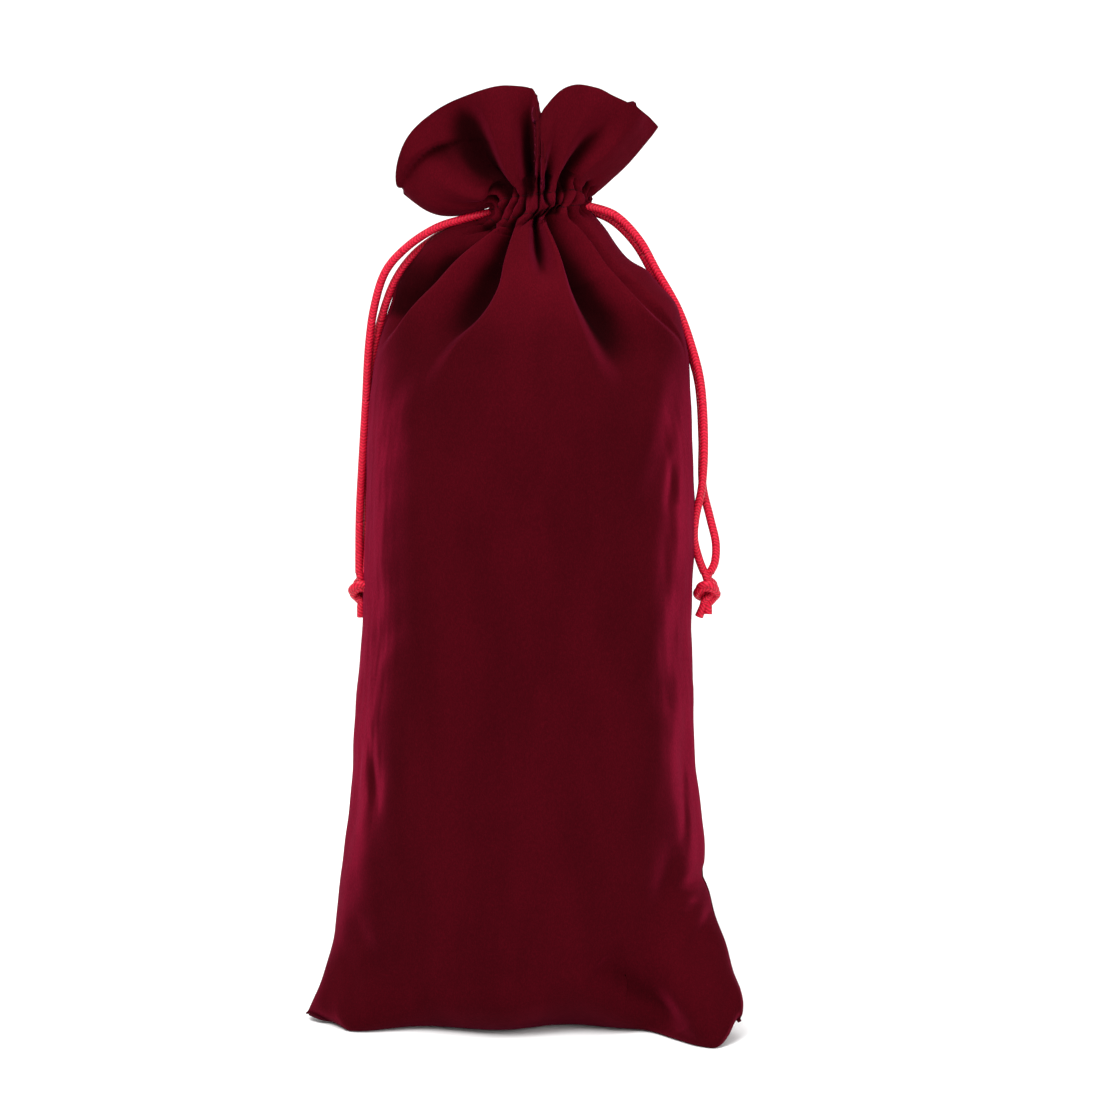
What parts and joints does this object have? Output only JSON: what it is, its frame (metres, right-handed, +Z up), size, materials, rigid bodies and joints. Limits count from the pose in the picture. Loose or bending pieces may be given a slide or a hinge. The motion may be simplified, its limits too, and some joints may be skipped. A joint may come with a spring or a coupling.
{
  "type": "fabric gift sack",
  "caption": "Soft velvet bottle sack with a gathered neck, a flared ruffle and satin drawstring cords that hang in knotted pairs at the sides.",
  "frame": {"origin": "middle of the base, on the surface that the sack stands on", "axes": "+Z up from the base to the ruffle, +X to the viewer's right along the flat width, -Y to the front"},
  "size_m": [0.15, 0.078, 0.325],
  "materials": {
    "velvet": "matte velvet pile, magenta sheen at grazing angles",
    "velvet_inside": "matte velvet, turned-in and unlit side",
    "thread": "matte sewing thread",
    "satin_cord": "satin rattail cord, soft gloss"
  },
  "bodies": {
    "root": {"front_panel": "velvet", "back_panel": "velvet", "bottom_seam": "velvet_inside", "left_side_seam": "velvet_inside", "right_side_seam": "velvet_inside"},
    "collar_front": {"front_collar": "velvet", "front_facing": "velvet_inside", "front_casing_stitch_upper": "thread", "front_casing_stitch_lower": "thread", "left_cord_front_run": "satin_cord", "right_cord_front_run": "satin_cord"},
    "collar_back": {"back_collar": "velvet", "back_facing": "velvet_inside", "back_casing_stitch_upper": "thread", "back_casing_stitch_lower": "thread", "left_cord_back_run": "satin_cord", "right_cord_back_run": "satin_cord"},
    "left_cord_exit": {"left_cord_exit_front": "satin_cord", "left_cord_exit_back": "satin_cord"},
    "left_cord_shoulder": {"left_cord_shoulder_front": "satin_cord", "left_cord_shoulder_back": "satin_cord"},
    "left_cord_hang": {"left_cord_hang_front": "satin_cord", "left_cord_hang_back": "satin_cord"},
    "left_cord_upper": {"left_cord_upper_front": "satin_cord", "left_cord_upper_back": "satin_cord"},
    "left_cord_lower": {"left_cord_lower_front": "satin_cord", "left_cord_lower_back": "satin_cord", "left_cord_knot": "satin_cord", "left_cord_end_inner": "satin_cord", "left_cord_end_outer": "satin_cord"},
    "right_cord_exit": {"right_cord_exit_front": "satin_cord", "right_cord_exit_back": "satin_cord"},
    "right_cord_shoulder": {"right_cord_shoulder_front": "satin_cord", "right_cord_shoulder_back": "satin_cord"},
    "right_cord_hang": {"right_cord_hang_front": "satin_cord", "right_cord_hang_back": "satin_cord"},
    "right_cord_upper": {"right_cord_upper_front": "satin_cord", "right_cord_upper_back": "satin_cord"},
    "right_cord_lower": {"right_cord_lower_front": "satin_cord", "right_cord_lower_back": "satin_cord", "right_cord_knot": "satin_cord", "right_cord_end_inner": "satin_cord", "right_cord_end_outer": "satin_cord"}
  },
  "joints": [
    {"name": "mouth_front", "type": "hinge", "parent": "root", "child": "collar_front", "pos_m": [0, 0, 0.232], "axis": [1, 0, 0], "range_deg": [0, 12]},
    {"name": "mouth_back", "type": "hinge", "parent": "root", "child": "collar_back", "pos_m": [0, 0, 0.232], "axis": [1, 0, 0], "range_deg": [-12, 0]},
    {"name": "left_cord_feed", "type": "slide", "parent": "root", "child": "left_cord_exit", "axis": [0.9659, 0, 0.2588], "range_m": [0, 0.0101]},
    {"name": "left_cord_climb", "type": "slide", "parent": "left_cord_exit", "child": "left_cord_shoulder", "axis": [-0.5601, 0, 0.8284], "range_m": [0, 0.0066]},
    {"name": "left_cord_rise", "type": "slide", "parent": "left_cord_shoulder", "child": "left_cord_hang", "axis": [-0.9487, 0, 0.3162], "range_m": [0, 0.00639]},
    {"name": "left_tail_swing", "type": "hinge", "parent": "left_cord_hang", "child": "left_cord_upper", "pos_m": [-0.0564, 0, 0.2357], "axis": [0, 1, 0], "range_deg": [0, 70]},
    {"name": "left_tail_sway", "type": "hinge", "parent": "left_cord_upper", "child": "left_cord_lower", "pos_m": [-0.0603, 0, 0.197], "axis": [-1, 0, 0], "range_deg": [-40, 40]},
    {"name": "right_cord_feed", "type": "slide", "parent": "root", "child": "right_cord_exit", "axis": [-0.9659, 0, 0.2588], "range_m": [0, 0.0101]},
    {"name": "right_cord_climb", "type": "slide", "parent": "right_cord_exit", "child": "right_cord_shoulder", "axis": [0.5601, 0, 0.8284], "range_m": [0, 0.0066]},
    {"name": "right_cord_rise", "type": "slide", "parent": "right_cord_shoulder", "child": "right_cord_hang", "axis": [0.9487, 0, 0.3162], "range_m": [0, 0.00639]},
    {"name": "right_tail_swing", "type": "hinge", "parent": "right_cord_hang", "child": "right_cord_upper", "pos_m": [0.0574, 0, 0.2357], "axis": [0, -1, 0], "range_deg": [0, 70]},
    {"name": "right_tail_sway", "type": "hinge", "parent": "right_cord_upper", "child": "right_cord_lower", "pos_m": [0.0606, 0, 0.197], "axis": [-1, 0, 0], "range_deg": [-40, 40]}
  ],
  "couplings": [
    {"joint": "mouth_back", "follows": "mouth_front", "ratio": -1},
    {"joint": "left_cord_feed", "follows": "mouth_front", "m_per_rad": 0.047746},
    {"joint": "left_cord_climb", "follows": "mouth_front", "m_per_rad": 0.031192},
    {"joint": "left_cord_rise", "follows": "mouth_front", "m_per_rad": 0.030198},
    {"joint": "right_cord_feed", "follows": "mouth_front", "m_per_rad": 0.047746},
    {"joint": "right_cord_climb", "follows": "mouth_front", "m_per_rad": 0.031192},
    {"joint": "right_cord_rise", "follows": "mouth_front", "m_per_rad": 0.030198}
  ]
}
